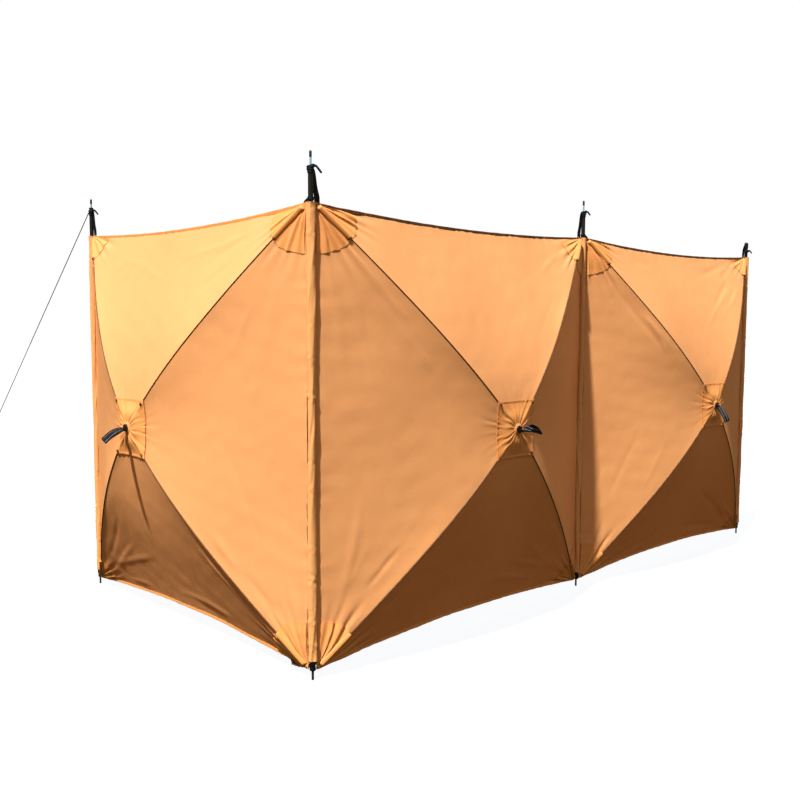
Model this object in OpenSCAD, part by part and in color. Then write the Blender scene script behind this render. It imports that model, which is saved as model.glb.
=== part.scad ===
// Pop-up beach windbreak: three square bays between four upright poles.
// Each bay is four sewn cloth triangles, pushed outwards by four bowed rods that meet in a hub.
// Every bay is drawn flat along +X from its left pole, with its outer side towards -Y,
// and is then turned into its place. The origin is at the foot of the corner pole, on the ground.

/* [Bays] */
// Width of one bay, from pole to pole
bay_w = 1700; // [1200:10:2400]
// Height of the cloth at the poles
cloth_h = 1700; // [1200:10:2200]
// How far the middle of a bay stands out from the line of its poles
hub_reach = 270; // [180:5:360]
// Height of the cloth's lower corners above the ground
ground_gap = 35; // [20:1:80]
// Angle at the corner pole between the first bay and the middle bay
corner_angle = 90; // [80:1:180]
// Angle by which the third bay turns outwards from the middle bay
bay_3_turn = 2; // [0:0.5:20]

/* [Cloth] */
// Thickness of the cloth with its lining and seam allowance
cloth_t = 3.5; // [2:0.5:6]
// Sag of the top edge halfway between two poles
top_sag = 30; // [5:1:60]
// Rise of the bottom edge halfway between two poles
bottom_rise = 38; // [5:1:80]
// Dip of each panel between its two seams
panel_dip = 18; // [0:1:30]
// Gap between two panels at their seam
seam_gap = 0.8; // [0.4:0.1:1]
// Width of the binding tape on the top and bottom edges
hem_w = 14; // [8:1:30]
// Thickness that the binding tape adds to the cloth
hem_t = 1; // [0.5:0.5:2]
// Outer diameter of the cloth sleeve round a pole
sleeve_d = 36; // [28:1:50]

/* [Poles] */
// Diameter of an upright pole
pole_d = 19; // [16:0.5:24]
// Height of a pole above the cloth
pole_head = 127; // [100:1:200]
// Height of the right end pole above the cloth, which has no pin
end_head = 84; // [60:1:200]
// Length of bare pole below the sleeve
foot_room = 38; // [38:1:60]
// Diameter of the steel pin on a pole's head
pin_d = 8; // [7.5:0.5:10]
// Diameter of the pin's root in the pole
pin_root_d = 7; // [5:0.5:7]
// Length of the pin above the pole
pin_l = 50; // [30:1:80]
// Diameter of the steel spike in a pole's foot
spike_d = 9; // [6:0.5:12]
// Depth of the sockets for the pin and the spike
socket_depth = 40; // [20:1:60]

/* [Rods and hub] */
// Diameter of a bowed rod
rod_d = 9.5; // [7:0.5:11.5]
// Clear space between a rod and the cloth
rod_gap = 2; // [1:0.5:5]
// Distance from a rod's outer end to the corner of the cloth, along the seam
rod_stop = 60; // [40:1:120]
// Diameter of the round plate that fills the opening at the middle of a bay
hub_plate_d = 92; // [80:1:120]
// Diameter of the hub's socket block behind the cloth
hub_block_d = 72; // [60:1:80]
// Depth of the hub's socket block
hub_block_t = 18; // [16:1:30]
// Diameter of the knob in front of the cloth
knob_d = 30; // [28:1:60]
// Length of the knob
knob_l = 14; // [10:1:24]

/* [Webbing] */
// Width of the pull strap's webbing
strap_w = 27; // [20:1:30]
// Width to which the webbing is gathered in the knob
tail_w = 18; // [12:1:20]
// Thickness of one layer of webbing
web_t = 2; // [1.5:0.5:3]
// Length of the loop of a pull strap
strap_l = 92; // [70:1:140]
// Length of the sewn neck between the knob and the loop
strap_neck = 8; // [8:1:20]
// Clear height of the loop of a pull strap
strap_gap = 18; // [12:1:30]
// Angle by which each bay's pull strap droops
strap_droop = [28, 0, 57];
// Width of the webbing that ties a corner of the cloth to its own pole
tie_w = 25; // [15:1:30]
// Width of the narrow loops on which an end bay turns round its neighbour's pole
loop_w = 12; // [8:1:14]

/* [Guy line] */
// Distance along the ground from the end pole to the peg
guy_reach = 2160; // [1200:10:3000]
// Diameter of the guy line
guy_d = 4; // [3:0.5:6]
// Height above the ground at which the line holds the peg
peg_hold = 24; // [15:1:40]
// Diameter of the peg
peg_d = 7; // [5:0.5:10]
// Height of the peg's head above the ground
peg_h = 50; // [40:1:80]
// Length of the runner on the line
runner_l = 45; // [30:1:60]
// Distance of the runner from the peg, along the line
runner_at = 420; // [200:10:800]

/* [Clearances] */
// Radial clearance of what sits on or in something of its own body
seat = 0.3; // [0.2:0.05:0.4]
// Clearance between an end bay's cloth and the sleeve it turns round
turn_gap = 6; // [5:0.5:12]

/* [Hidden] */
$fn = 48;

// Heights
cloth_top = ground_gap + cloth_h;
END_POLE = 4;
function pole_top(n) = cloth_top + (n == END_POLE ? end_head : pole_head);
hub_z = ground_gap + cloth_h / 2;
half_w = bay_w / 2;
half_h = cloth_h / 2;

// Distance from a pole's axis to the edge of cloth that is sewn to its sleeve, and of cloth that turns round it
sewn_edge = sleeve_d / 2 + 0.4;
turning_edge = sleeve_d / 2 + turn_gap;
// The left and the right edge distance of each bay
edges = [[sewn_edge, turning_edge], [sewn_edge, sewn_edge], [turning_edge, sewn_edge]];

// The corners of a bay, counterclockwise from the lower left: [side across, side up]
CORNERS = [[-1, -1], [1, -1], [1, 1], [-1, 1]];
BOTTOM = 0;
RIGHT = 1;
TOP = 2;
LEFT = 3;

// Share of the way to the hub at which the cloth stops, and at which the binding ends
cloth_stop = 1 - hub_plate_d / 2 / min(half_w, half_h);
hem_share = hem_w / half_h;
// Radial room between the hub's plate and the cloth
plate_room = 0.4;
// Distance from the cloth's middle surface to a rod's axis
rod_set = cloth_t / 2 + rod_gap + rod_d / 2;
// Distances from the hub's axis at which a socket and the rod in it begin, and to the socket's middle
socket_start = 16;
rod_start = 18;
socket_mid = (socket_start + hub_block_d / 2) / 2;
// Radial room in a straight socket for the bend of its rod
socket_room = 0.5;

// Cells of a panel's mesh, towards the hub and across, and the cells and sides of a rod
CELLS_IN = 8;
CELLS_ACROSS = 8;
ROD_CELLS = 10;
ROD_SIDES = 10;
// The rings of a rod lie closer together towards the hub, where it bends most
RING_SPREAD = 1.6;

function edge_at(bay, corner) = edges[bay - 1][CORNERS[corner][0] < 0 ? 0 : 1];
// Distance along the diagonal from the hub to the corner of the cloth
function half_diagonal(bay, corner) = norm([half_w - edge_at(bay, corner), half_h]);
// How far a bow stands out at a share q of the way from the hub to the corner: it bends as a rod does
// that is clamped in the hub and pressed back at its tip
function bow_reach(q) = hub_reach * (1 - (3 * pow(q, 2) - pow(q, 3)) / 2);

// A point of the seam from a corner, at a share s of the way to the hub
function seam_point(bay, corner, s) =
    let (side = CORNERS[corner], q = 1 - s)
    [half_w + side[0] * (half_w - edge_at(bay, corner)) * q, -bow_reach(q), hub_z + side[1] * half_h * q];

// How far an outer edge moves towards the hub halfway along
function edge_draw(panel) = panel == TOP ? -top_sag : panel == BOTTOM ? bottom_rise : 0;

// A point of a panel's middle surface, at a share s of the way to the hub and a share t across
function panel_point(bay, panel, s, t) =
    let (a = seam_point(bay, panel, s), b = seam_point(bay, (panel + 1) % 4, s),
         inset = seam_gap / sqrt(2) / norm(b - a), u = inset + t * (1 - 2 * inset),
         across = 4 * u * (1 - u))
    a + u * (b - a)
    + [0, panel_dip * across * 4 * s * (1 - s), edge_draw(panel) * across * (1 - s)];

// Moves a bay from the drawing's place to its own place
module place_bay(bay) {
    if (bay == 1)
        rotate(corner_angle) translate([bay_w, 0, 0]) rotate(180) children();
    else if (bay == 2)
        children();
    else
        translate([bay_w, 0, 0]) rotate(-bay_3_turn) children();
}

// Moves a piece from a bay's left pole to pole 1, 2, 3 or 4
module place_pole(pole) {
    if (pole == 1)
        place_bay(1) children();
    else if (pole == 2)
        place_bay(2) children();
    else
        place_bay(pole - 1) translate([bay_w, 0, 0]) mirror([1, 0, 0]) children();
}

module pole(n) {
    color("dimgray") place_pole(n) difference() {
        translate([0, 0, ground_gap]) cylinder(d = pole_d, h = pole_top(n) - ground_gap);
        if (n != END_POLE)
            translate([0, 0, pole_top(n) - socket_depth]) cylinder(d = pin_root_d + 2 * seat, h = socket_depth + 1);
        translate([0, 0, ground_gap - 1]) cylinder(d = spike_d + 2 * seat, h = socket_depth + 1);
    }
}

// The pin in the head of each pole but the end one, and the spike in its foot, down to the ground
module pins(n) {
    color("lightsteelblue") place_pole(n) {
        if (n != END_POLE) {
            translate([0, 0, pole_top(n)]) cylinder(d = pin_d, h = pin_l);
            translate([0, 0, pole_top(n) - socket_depth + seat]) cylinder(d = pin_root_d, h = socket_depth);
        }
        cylinder(d = spike_d, h = ground_gap + socket_depth - seat);
    }
}

module sleeve(n) {
    color("sandybrown") place_pole(n) difference() {
        translate([0, 0, ground_gap + foot_room]) cylinder(d = sleeve_d, h = cloth_h - foot_room);
        translate([0, 0, ground_gap]) cylinder(d = pole_d + 2 * seat, h = cloth_h + 1);
    }
}

// A webbing ring round the pole, with a strap from it to the back of the cloth's corner.
// The strap is an outline across from the pole's axis and up, and starts outside the pole.
module corner_loop(ring_low, ring_w, outline) {
    difference() {
        union() {
            translate([0, 0, ring_low]) cylinder(r = ring_r, h = ring_w);
            translate([0, tab_y + web_t, 0]) rotate([90, 0, 0]) linear_extrude(web_t) polygon(outline);
        }
        translate([0, 0, ring_low - 1]) cylinder(d = pole_d + 2 * seat, h = ring_w + 2);
    }
}

// An L-shaped strap: out from the ring and then along the edge of the cloth to a height
function corner_tab(ring_low, ring_w, edge, end) =
    end > ring_low
    ? [[0, ring_low], [edge + tie_w, ring_low], [edge + tie_w, end], [edge, end],
       [edge, ring_low + ring_w], [0, ring_low + ring_w]]
    : [[0, ring_low], [edge, ring_low], [edge, end], [edge + tie_w, end],
       [edge + tie_w, ring_low + ring_w], [0, ring_low + ring_w]];

// A strap that slants down from a ring at the pole's head to the corner of the cloth
function slanting_tab(low, edge, end) =
    [[0, low], [ring_r, low], [edge, tie_foot], [edge, end], [edge + tie_w, end],
     [edge + tie_w, tie_foot], [ring_r, low + tie_w], [0, low + tie_w]];

// Heights of the rings, and of the place where the slanting strap meets the corner of the cloth
tab_l = 40;
tab_y = (cloth_t + hem_t) / 2 + seat;
ring_r = pole_d / 2 + seat + web_t;
function head_tie_low(n) = pole_top(n) - tie_w - 2;
head_loop_low = cloth_top + 6;
tie_foot = head_loop_low + loop_w + 6;
foot_loop_low = ground_gap + 2;
foot_tie_low = foot_loop_low + loop_w + 6;

// The ties that hold a bay's corners to its own pole
module ties(n) {
    color([0.08, 0.08, 0.09]) place_pole(n) {
        corner_loop(head_tie_low(n), tie_w, slanting_tab(head_tie_low(n), sewn_edge, cloth_top - tab_l));
        corner_loop(foot_tie_low, loop_w,
                    corner_tab(foot_tie_low, loop_w, sewn_edge, foot_tie_low + loop_w + tab_l));
    }
}

// The loops on which an end bay turns round the pole of its neighbour
module hinge_loops(bay) {
    head = corner_tab(head_loop_low, loop_w, turning_edge, cloth_top - tab_l);
    foot = corner_tab(foot_loop_low, loop_w, turning_edge, foot_loop_low + loop_w + tab_l);
    color([0.08, 0.08, 0.09]) place_bay(bay)
        translate([bay == 1 ? bay_w : 0, 0, 0]) mirror([bay == 1 ? 1 : 0, 0, 0]) {
            corner_loop(head_loop_low, loop_w, head);
            corner_loop(foot_loop_low, loop_w, foot);
        }
}

// A curved sheet of even depth along Y, from one share of the way to the hub to another
module sheet(bay, panel, from, to, cells_in, thickness) {
    row = CELLS_ACROSS + 1;
    layer = (cells_in + 1) * row;
    points = [for (back = [-1, 1], i = [0 : cells_in], j = [0 : CELLS_ACROSS])
        panel_point(bay, panel, from + (to - from) * i / cells_in, j / CELLS_ACROSS)
        + [0, back * thickness / 2, 0]];
    front_faces = [for (i = [0 : cells_in - 1], j = [0 : CELLS_ACROSS - 1])
        let (k = i * row + j) each [[k, k + row, k + 1], [k + 1, k + row, k + row + 1]]];
    back_faces = [for (face = front_faces) [face[2] + layer, face[1] + layer, face[0] + layer]];
    rim = concat([for (j = [0 : CELLS_ACROSS - 1]) j],
                 [for (i = [0 : cells_in - 1]) i * row + CELLS_ACROSS],
                 [for (j = [CELLS_ACROSS : -1 : 1]) cells_in * row + j],
                 [for (i = [cells_in : -1 : 1]) i * row]);
    rim_faces = [for (k = [0 : len(rim) - 1])
        let (a = rim[k], b = rim[(k + 1) % len(rim)])
        each [[a, b, b + layer], [a, b + layer, a + layer]]];
    polyhedron(points = points, faces = concat(front_faces, back_faces, rim_faces));
}

// The cloth triangle of one side of a bay. The top and bottom ones leave room for their binding.
module cloth(bay, panel) {
    bound = panel == TOP || panel == BOTTOM;
    from = bound ? hem_share + seat / half_h : 0;
    color(panel == TOP ? "navajowhite" : panel == LEFT ? "sandybrown" : "peru")
        place_bay(bay) sheet(bay, panel, from, cloth_stop, CELLS_IN, cloth_t);
}

module hems(bay) {
    color("saddlebrown") place_bay(bay) for (panel = [BOTTOM, TOP])
        sheet(bay, panel, 0, hem_share, 1, cloth_t + hem_t);
}

// Turns a piece that runs along +X on the hub's axis towards a corner
module towards_corner(bay, corner) {
    side = CORNERS[corner];
    translate([half_w, 0, hub_z])
        rotate([0, -atan2(side[1] * half_h, side[0] * (half_w - edge_at(bay, corner))), 0]) children();
}

// A bowed rod from the hub towards a corner, as rings of points along its axis
module rod(bay, corner) {
    span = half_diagonal(bay, corner);
    points = [for (i = [0 : ROD_CELLS])
        let (x = rod_start + (span - rod_stop - rod_start) * pow(i / ROD_CELLS, RING_SPREAD), q = x / span,
             lean = atan(hub_reach * (6 * q - 3 * pow(q, 2)) / 2 / span))
        for (k = [0 : ROD_SIDES - 1])
            let (angle = 360 * (k + 0.5) / ROD_SIDES, out = rod_d / 2 * cos(angle) + rod_set)
            [x - out * sin(lean), out * cos(lean) - bow_reach(q), rod_d / 2 * sin(angle)]];
    sides = [for (i = [0 : ROD_CELLS - 1], k = [0 : ROD_SIDES - 1])
        let (a = i * ROD_SIDES + k, b = i * ROD_SIDES + (k + 1) % ROD_SIDES)
        [a, b, b + ROD_SIDES, a + ROD_SIDES]];
    near_end = [for (k = [ROD_SIDES - 1 : -1 : 0]) k];
    far_end = [for (k = [0 : ROD_SIDES - 1]) ROD_CELLS * ROD_SIDES + k];
    towards_corner(bay, corner) polyhedron(points = points, faces = concat([near_end, far_end], sides));
}

module rods(bay) {
    color([0.12, 0.12, 0.13]) place_bay(bay) for (corner = [0 : 3]) rod(bay, corner);
}

// A disc on the hub's axis, from one distance behind the middle of the cloth to another
module hub_disc(diameter, front, back) {
    translate([half_w, -hub_reach + back, hub_z]) rotate([90, 0, 0]) cylinder(d = diameter, h = back - front);
}

// The hub: a plate level with the cloth, a block with four sockets behind it and a knob in front
module hub(bay) {
    slot_t = 2 * web_t + 2 * seat;
    color([0.1, 0.1, 0.11]) place_bay(bay) difference() {
        union() {
            hub_disc(hub_plate_d - 2 * plate_room, -cloth_t / 2, cloth_t / 2);
            hub_disc(hub_block_d, 0, cloth_t / 2 + hub_block_t);
            hub_disc(knob_d, -cloth_t / 2 - knob_l, 0);
        }
        for (corner = [0 : 3]) towards_corner(bay, corner)
            translate([socket_start, rod_set - bow_reach(socket_mid / half_diagonal(bay, corner)), 0])
                rotate([0, 90, 0]) cylinder(d = rod_d + 2 * socket_room, h = hub_block_d);
        translate([half_w - tail_w / 2 - seat, -hub_reach - cloth_t / 2 - knob_l - 1, hub_z - slot_t / 2])
            cube([tail_w + 2 * seat, knob_l, slot_t]);
    }
}

// An outline with round ends, from x = 0 to the length
module stadium(length, height) {
    translate([height / 2, -height / 2]) square([length - height, height]);
    for (x = [height / 2, length - height / 2])
        translate([x, 0]) circle(d = height);
}

// The outline of the loop with its neck, seen from the side and running along +X from the bend
module strap_outline() {
    translate([0, -web_t]) square([strap_neck + web_t, 2 * web_t]);
    translate([strap_neck, 0]) difference() {
        stadium(strap_l, strap_gap + 2 * web_t);
        translate([web_t, 0]) stadium(strap_l - 2 * web_t, strap_gap);
    }
}

// The pull strap: a doubled tail in the knob's slot and a loop that droops from it
module pull_strap(bay) {
    tail_t = 2 * web_t;
    elbow_d = tail_t + 1;
    knob_face = -hub_reach - cloth_t / 2 - knob_l;
    bend = knob_face - elbow_d / 2 - 0.5;
    slot_end = knob_face + knob_l - 1 - seat;
    color([0.08, 0.08, 0.09]) place_bay(bay) {
        translate([half_w - tail_w / 2, bend, hub_z - tail_t / 2])
            cube([tail_w, slot_end - bend, tail_t]);
        translate([half_w - strap_w / 2, bend, hub_z]) {
            rotate([0, 90, 0]) cylinder(d = elbow_d, h = strap_w);
            rotate([strap_droop[bay - 1], 0, 0]) rotate([90, 0, -90]) translate([0, 0, -strap_w])
                linear_extrude(strap_w) strap_outline();
        }
    }
}

// The guy line runs from a loop on the end pole's pin to a loop round the peg
eye_wall = 1.5 * guy_d;
eye_h = 2 * guy_d;
line_head = [-(pin_d + eye_wall) / 2 - seat, pole_top(1) + (eye_h + guy_d) / 2];
line_foot = [-guy_reach + (peg_d + eye_wall) / 2 + seat, peg_hold];
line_l = norm(line_foot - line_head);
line_slope = atan2(line_head[1] - line_foot[1], line_head[0] - line_foot[0]);

// Moves a piece from the X axis to the line, with the line's foot at x = 0 and its head towards +X
module place_on_line() {
    translate([line_foot[0], 0, line_foot[1]]) rotate([0, -line_slope, 0]) children();
}

// The line's whipped loop round an upright pin, whose middle is at z = 0
module eye(held_d) {
    bore_d = held_d + 2 * seat;
    translate([0, 0, -eye_h / 2]) difference() {
        cylinder(d = bore_d + 2 * eye_wall, h = eye_h);
        translate([0, 0, -1]) cylinder(d = bore_d, h = eye_h + 2);
    }
}

module guy_line() {
    color([0.08, 0.08, 0.09]) place_pole(1) {
        place_on_line() rotate([0, 90, 0]) cylinder(d = guy_d, h = line_l, $fn = 24);
        translate([0, 0, line_head[1]]) eye(pin_d);
        translate([-guy_reach, 0, peg_hold]) eye(peg_d);
    }
}

// A runner that shortens the line: a flat bar with a hole along it
module guy_runner() {
    color([0.1, 0.1, 0.11]) place_pole(1) place_on_line() translate([runner_at, 0, 0]) difference() {
        translate([0, -guy_d, -guy_d]) cube([runner_l, 2 * guy_d, 5 * guy_d]);
        translate([-1, 0, 0]) rotate([0, 90, 0]) cylinder(d = guy_d + 2 * seat, h = runner_l + 2);
    }
}

module guy_peg() {
    head_d = 2.5 * peg_d;
    head_t = 4;
    color("lightsteelblue") place_pole(1) translate([-guy_reach, 0, 0]) {
        cylinder(d = peg_d, h = peg_h);
        translate([0, 0, peg_h - head_t]) cylinder(d = head_d, h = head_t);
    }
}

pole(1);  // pole_1
pins(1);  // pins_1
sleeve(1);  // sleeve_1
ties(1);  // ties_1
cloth(1, TOP);  // bay_1_top_cloth
cloth(1, RIGHT);  // bay_1_right_cloth
cloth(1, BOTTOM);  // bay_1_bottom_cloth
cloth(1, LEFT);  // bay_1_left_cloth
hems(1);  // bay_1_hems
rods(1);  // bay_1_rods
hub(1);  // bay_1_hub
pull_strap(1);  // bay_1_pull_strap
hinge_loops(1);  // bay_1_hinge_loops
guy_line();
guy_runner();
guy_peg();
pole(2);  // pole_2
pins(2);  // pins_2
sleeve(2);  // sleeve_2
ties(2);  // ties_2
cloth(2, TOP);  // bay_2_top_cloth
cloth(2, RIGHT);  // bay_2_right_cloth
cloth(2, BOTTOM);  // bay_2_bottom_cloth
cloth(2, LEFT);  // bay_2_left_cloth
hems(2);  // bay_2_hems
rods(2);  // bay_2_rods
hub(2);  // bay_2_hub
pull_strap(2);  // bay_2_pull_strap
pole(3);  // pole_3
pins(3);  // pins_3
sleeve(3);  // sleeve_3
ties(3);  // ties_3
cloth(3, TOP);  // bay_3_top_cloth
cloth(3, RIGHT);  // bay_3_right_cloth
cloth(3, BOTTOM);  // bay_3_bottom_cloth
cloth(3, LEFT);  // bay_3_left_cloth
hems(3);  // bay_3_hems
rods(3);  // bay_3_rods
hub(3);  // bay_3_hub
pull_strap(3);  // bay_3_pull_strap
hinge_loops(3);  // bay_3_hinge_loops
pole(4);  // pole_4
pins(4);  // pins_4
sleeve(4);  // sleeve_4
ties(4);  // ties_4
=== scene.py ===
"""Beach windbreak: cloth, webbing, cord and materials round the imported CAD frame.

Every bay is described flat, as in the CAD: x runs from its left pole, y points to the sheltered side and z up.
A bay's cloth is a height field over x and z, so each layer of cloth is a mesh that looks its depth up there.
"""
import math

import bpy
import numpy as np
from mathutils import Matrix, Vector


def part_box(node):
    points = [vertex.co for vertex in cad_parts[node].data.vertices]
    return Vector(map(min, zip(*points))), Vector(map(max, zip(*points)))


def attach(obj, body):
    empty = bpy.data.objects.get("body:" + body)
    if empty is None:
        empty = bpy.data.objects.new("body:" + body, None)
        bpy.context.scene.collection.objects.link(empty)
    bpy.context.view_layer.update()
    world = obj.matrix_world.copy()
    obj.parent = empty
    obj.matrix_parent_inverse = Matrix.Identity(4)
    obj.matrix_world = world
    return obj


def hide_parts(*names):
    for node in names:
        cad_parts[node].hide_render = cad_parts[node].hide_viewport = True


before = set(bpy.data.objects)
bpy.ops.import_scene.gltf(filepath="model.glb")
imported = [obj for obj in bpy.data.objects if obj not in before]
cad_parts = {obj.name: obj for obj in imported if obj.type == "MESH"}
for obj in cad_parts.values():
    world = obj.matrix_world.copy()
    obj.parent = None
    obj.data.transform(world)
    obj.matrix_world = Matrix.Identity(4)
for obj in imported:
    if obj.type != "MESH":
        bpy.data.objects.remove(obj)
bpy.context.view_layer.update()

# ---------------------------------------------------------------- sizes, in metres, from the CAD frame
CLOTH_T = 0.0035
HUB_PLATE_R = 0.046
KNOB_R = 0.015
KNOB_L = 0.014
TOP_SAG = 0.030
BOTTOM_RISE = 0.038
PANEL_DIP = 0.018
HEM_W = 0.014
TIE_W = 0.025
LOOP_W = 0.012
WEB_T = 0.002
ROD_R = 0.00475
ROD_SET = 0.0085
ROD_START = 0.018
ROD_STOP = 0.060
SEWN_EDGE = 0.0184
TURNING_EDGE = 0.024
POLE_R = 0.0095
SLEEVE_R = 0.018
STRAP_W = 0.027
STRAP_L = 0.092
STRAP_NECK = 0.008
STRAP_DROOP = {1: 28.0, 2: 0.0, 3: 57.0}
GUY_R = 0.002


def centre_of(node):
    low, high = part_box(node)
    return (low + high) / 2


POLE_AT = {n: centre_of(f"pole_{n}") for n in (1, 2, 3, 4)}
GROUND_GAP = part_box("pole_2")[0].z
CLOTH_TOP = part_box("sleeve_2")[1].z
SLEEVE_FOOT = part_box("sleeve_2")[0].z
POLE_TOP = {n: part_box(f"pole_{n}")[1].z for n in (1, 2, 3, 4)}
PIN_TOP = {n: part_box(f"pins_{n}")[1].z for n in (1, 2, 3, 4)}
BAY_W = POLE_AT[3].x - POLE_AT[2].x
HALF_W = BAY_W / 2
HALF_H = (CLOTH_TOP - GROUND_GAP) / 2
HUB_Z = (CLOTH_TOP + GROUND_GAP) / 2
HUB_REACH = -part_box("bay_2_hub")[0].y - KNOB_L - CLOTH_T / 2
PLATE_FRONT = HUB_REACH + CLOTH_T / 2
BODY = {1: "left_bay", 2: "middle_bay", 3: "right_bay"}
POLE_BODY = {1: "left_bay", 2: "middle_bay", 3: "middle_bay", 4: "right_bay"}
EDGES = {1: (SEWN_EDGE, TURNING_EDGE), 2: (SEWN_EDGE, SEWN_EDGE), 3: (TURNING_EDGE, SEWN_EDGE)}
CORNERS = ((-1, -1), (1, -1), (1, 1), (-1, 1))
PANELS = ("bottom", "right", "top", "left")
BOTTOM, RIGHT, TOP, LEFT = range(4)


def bay_axes(bay):
    """A bay's left pole, and its directions along the cloth and to the sheltered side."""
    start, end = POLE_AT[bay].copy(), POLE_AT[bay + 1].copy()
    start.z = end.z = 0
    along = (end - start).normalized()
    return start, along, Vector((0, 0, 1)).cross(along)


def place(bay, points):
    """Bay points, as an array of x, y, z, in the row frame."""
    start, along, inward = (np.array(v) for v in bay_axes(bay))
    points = np.asarray(points, float)
    return start + points[..., :1] * along + points[..., 1:2] * inward + points[..., 2:] * np.array((0, 0, 1.0))


def pole_frame(n):
    """The bay whose cloth is sewn to pole n, and the side of that bay it stands on: -1 left, 1 right."""
    return {1: (1, -1), 2: (2, -1), 3: (2, 1), 4: (3, 1)}[n]


def place_pole(n, points):
    """Points round a pole, with x towards its own bay's cloth, in the row frame."""
    bay, side = pole_frame(n)
    points = np.array(points, float)
    points[..., 0] = points[..., 0] * -side + (BAY_W if side > 0 else 0)
    return place(bay, points)


# ---------------------------------------------------------------- the shape of the cloth
def smooth(x, low, high):
    t = np.clip((x - low) / (high - low), 0, 1)
    return t * t * (3 - 2 * t)


def bell(x, middle, width):
    return np.exp(-(((x - middle) / width) ** 2))


def waves(a, b, seed, length, count=7):
    """Smooth irregular waves of about that length, between about -1 and 1."""
    rng = np.random.RandomState(seed)
    total = np.zeros(np.broadcast(a, b).shape)
    for _ in range(count):
        turn, rate, start = rng.uniform(0, math.tau), rng.uniform(0.6, 1.5), rng.uniform(0, math.tau)
        total += np.sin(math.tau / length * rate * (math.cos(turn) * a + math.sin(turn) * b) + start)
    return total / math.sqrt(count)


def pleats(t, seed, rate):
    """Irregular sharp-backed folds across a coordinate, between about -1 and 1."""
    rng = np.random.RandomState(seed)
    p, q, r = rng.uniform(0, math.tau, 3)
    bent = rate * t + 0.9 * np.sin(rate * 0.31 * t + p) + 0.6 * np.sin(rate * 0.73 * t + q)
    fold = np.sin(bent + r)
    return np.sign(fold) * np.abs(fold) ** 0.8 * (0.65 + 0.35 * np.sin(rate * 0.23 * t + q + p))


def bow_reach(q):
    return HUB_REACH * (1 - (3 * q**2 - q**3) / 2)


def half_widths(bay):
    return HALF_W - EDGES[bay][0], HALF_W - EDGES[bay][1]


def across(u):
    return 4 * u * (1 - u)


def panel_plane(bay, panel, s, u):
    """The x and z of a panel's point, at a share s of the way to the hub and u across."""
    left, right = half_widths(bay)
    q = 1 - s
    if panel == TOP:  # it runs from the right seam to the left one
        x, z = q * (right - u * (left + right)), q * (HALF_H - TOP_SAG * across(u))
    elif panel == BOTTOM:
        x, z = q * (-left + u * (left + right)), -q * (HALF_H - BOTTOM_RISE * across(u))
    elif panel == LEFT:
        x, z = -left * q + 0 * u, HALF_H * q * (1 - 2 * u)
    else:
        x, z = right * q + 0 * u, HALF_H * q * (2 * u - 1)
    return HALF_W + x, HUB_Z + z


def panel_place(bay, x, z):
    """The share of the way to the hub, and the share across, of any point of the cloth."""
    left, right = half_widths(bay)
    dx, dz = x - HALF_W, z - HUB_Z
    side = np.where(dx < 0, left, right)
    upright = np.abs(dz) / HALF_H >= np.abs(dx) / side
    # top and bottom panels, whose outer edge is curved
    bend = np.where(dz > 0, TOP_SAG, BOTTOM_RISE)
    u = np.full(np.shape(dx), 0.5)
    safe = np.maximum(np.abs(dz), 1e-6)
    for _ in range(12):
        u = np.clip((dx / safe * (HALF_H - bend * across(u)) + left) / (left + right), 0, 1)
    q_up = np.abs(dz) / (HALF_H - bend * across(u))
    # left and right panels
    q_side = np.abs(dx) / side
    u_side = np.clip(0.5 + dz / np.maximum(2 * HALF_H * q_side, 1e-6), 0, 1)
    return 1 - np.where(upright, q_up, q_side), np.where(upright, u, u_side), upright


def seam_distance(bay, x, z):
    """Distance in the bay's plane from the nearer diagonal."""
    left, right = half_widths(bay)
    dx, dz = x - HALF_W, z - HUB_Z
    side = np.where(dx < 0, left, right)
    return np.abs(np.abs(dx) * HALF_H - np.abs(dz) * side) / np.hypot(side, HALF_H)


# How far the cloth's folds stand, in metres
SLACK = 0.0021
HUB_FOLD = 0.0005
CORNER_FOLD = 0.0042
EDGE_PUCKER = 0.0013
HEM_PUCKER = 0.0016
CREASE = 0.0030


def creases(bay, x, z):
    """Long soft creases that run from the corners and the hub into the panels."""
    rng = np.random.RandomState(70 + bay)
    total = np.zeros(np.shape(x))
    for k in range(34):
        corner = CORNERS[k % 4]
        edge = EDGES[bay][0 if corner[0] < 0 else 1]
        cx = edge if corner[0] < 0 else BAY_W - edge
        cz = HUB_Z + corner[1] * HALF_H
        turn = rng.uniform(0.12, 1.45)
        start, length = rng.uniform(0.15, 0.5), rng.uniform(0.18, 0.6)
        width, height = rng.uniform(0.009, 0.018), rng.uniform(-1, 1)
        ax, az = -corner[0] * math.cos(turn), -corner[1] * math.sin(turn)
        along = (x - cx) * ax + (z - cz) * az
        off = (x - cx) * az - (z - cz) * ax + 0.02 * np.sin(along * 5 + k)
        total += height * bell(off, 0, width) * smooth(along, start, start + 0.3 * length) * (
            1 - smooth(along, start + 0.6 * length, start + length))
    return total


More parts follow.
